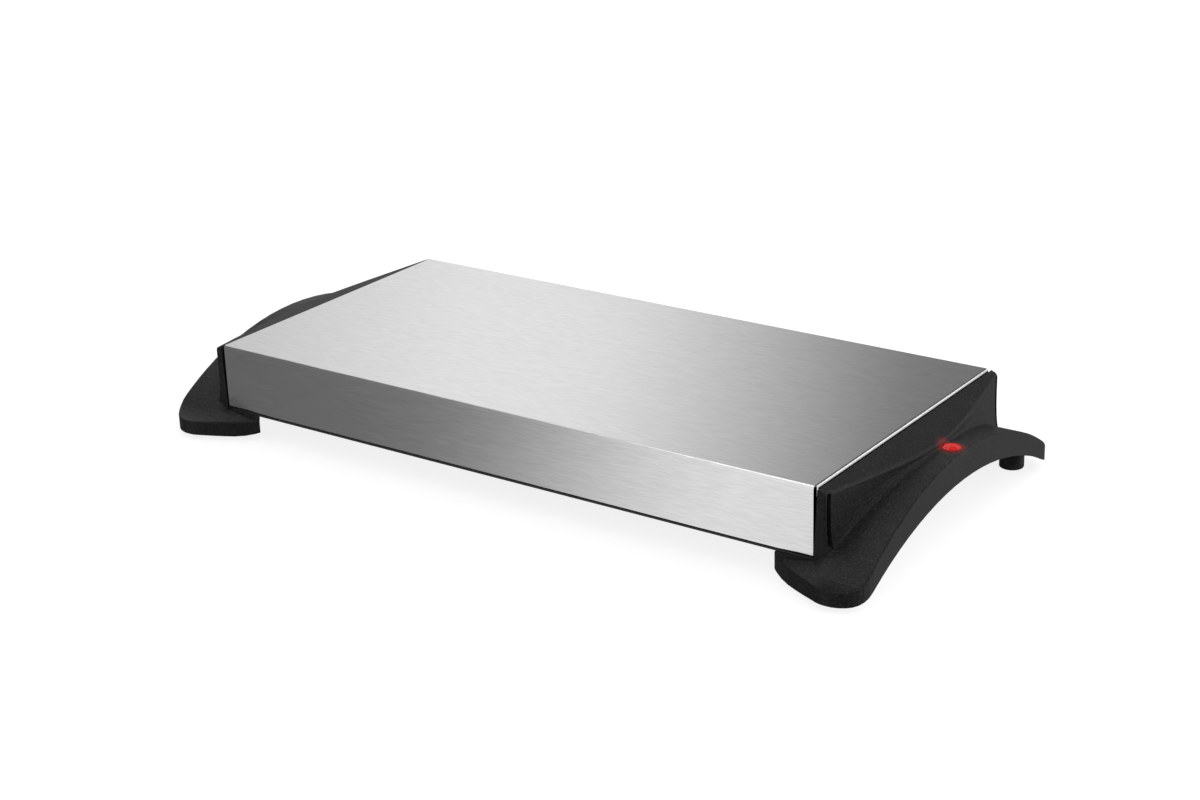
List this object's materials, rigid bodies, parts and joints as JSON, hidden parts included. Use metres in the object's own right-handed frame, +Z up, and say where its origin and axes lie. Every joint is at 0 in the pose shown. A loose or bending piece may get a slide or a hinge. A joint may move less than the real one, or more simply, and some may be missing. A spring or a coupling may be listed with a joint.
{
  "type": "electric food warming tray",
  "caption": "Long flat electric warming tray: brushed steel hot surface between black moulded ends with finger arches, splayed feet and a red pilot lamp.",
  "frame": {"origin": "centre of the footprint, on the plane the rubber feet stand on", "axes": "+X along the tray to the end with the pilot lamp, +Y to the back where the socket is, +Z up"},
  "size_m": [0.482, 0.2368, 0.058],
  "materials": {
    "cover_steel": "fine straight grain along the length",
    "end_plastic": "fine grained moulded black",
    "liner_plastic": "fine grained moulded black",
    "pan_paint": "satin black",
    "foot_rubber": "matte",
    "lamp_red": "clear red, lit",
    "lamp_glass": "small neon tube",
    "spring_steel": "bright spring steel",
    "screw_steel": "zinc plated",
    "spreader_aluminium": "mill finish",
    "clamp_steel": "bare galvanised sheet",
    "mica": "flaked amber sheet",
    "ribbon_alloy": "dull resistance alloy",
    "blanket_fibre": "pressed mineral fibre",
    "thermostat_case": "dark moulded case",
    "fuse_ceramic": "glazed",
    "inlet_plastic": "smooth black",
    "pin_brass": "machined",
    "block_plastic": "cream",
    "live_sleeve": "brown sleeving",
    "neutral_sleeve": "blue sleeving",
    "lamp_sleeve": "red sleeving",
    "earth_sleeve": "green and yellow sleeving"
  },
  "bodies": {
    "root": {"steel_cover": "cover_steel", "heat_spreader_plate": "spreader_aluminium", "mica_sheet_upper": "mica", "heating_ribbon": "ribbon_alloy", "mica_sheet_lower": "mica", "insulation_blanket": "blanket_fibre", "clamp_plate": "clamp_steel", "spreader_studs": "screw_steel", "clamp_nuts": "screw_steel", "thermostat": "thermostat_case", "thermostat_screws": "screw_steel", "thermal_fuse": "fuse_ceramic", "fuse_clip": "spring_steel", "bottom_pan": "pan_paint", "right_end_piece": "end_plastic", "left_end_piece": "end_plastic", "right_arch_liner": "liner_plastic", "left_arch_liner": "liner_plastic", "rubber_foot_front_right": "foot_rubber", "rubber_foot_back_right": "foot_rubber", "rubber_foot_front_left": "foot_rubber", "rubber_foot_back_left": "foot_rubber", "foot_screws": "screw_steel", "toe_screws": "screw_steel", "end_wall_screws": "screw_steel", "pan_screws": "screw_steel", "liner_screws": "screw_steel", "pilot_lamp_lens": "lamp_red", "pilot_lamp_body": "lamp_glass", "pilot_lamp_clip": "spring_steel", "power_inlet": "inlet_plastic", "inlet_pins": "pin_brass", "inlet_screws": "screw_steel", "terminal_block": "block_plastic", "live_leads": "live_sleeve", "neutral_leads": "neutral_sleeve", "lamp_leads": "lamp_sleeve", "earth_lead": "earth_sleeve", "earth_screw": "pin_brass"}
  },
  "joints": []
}
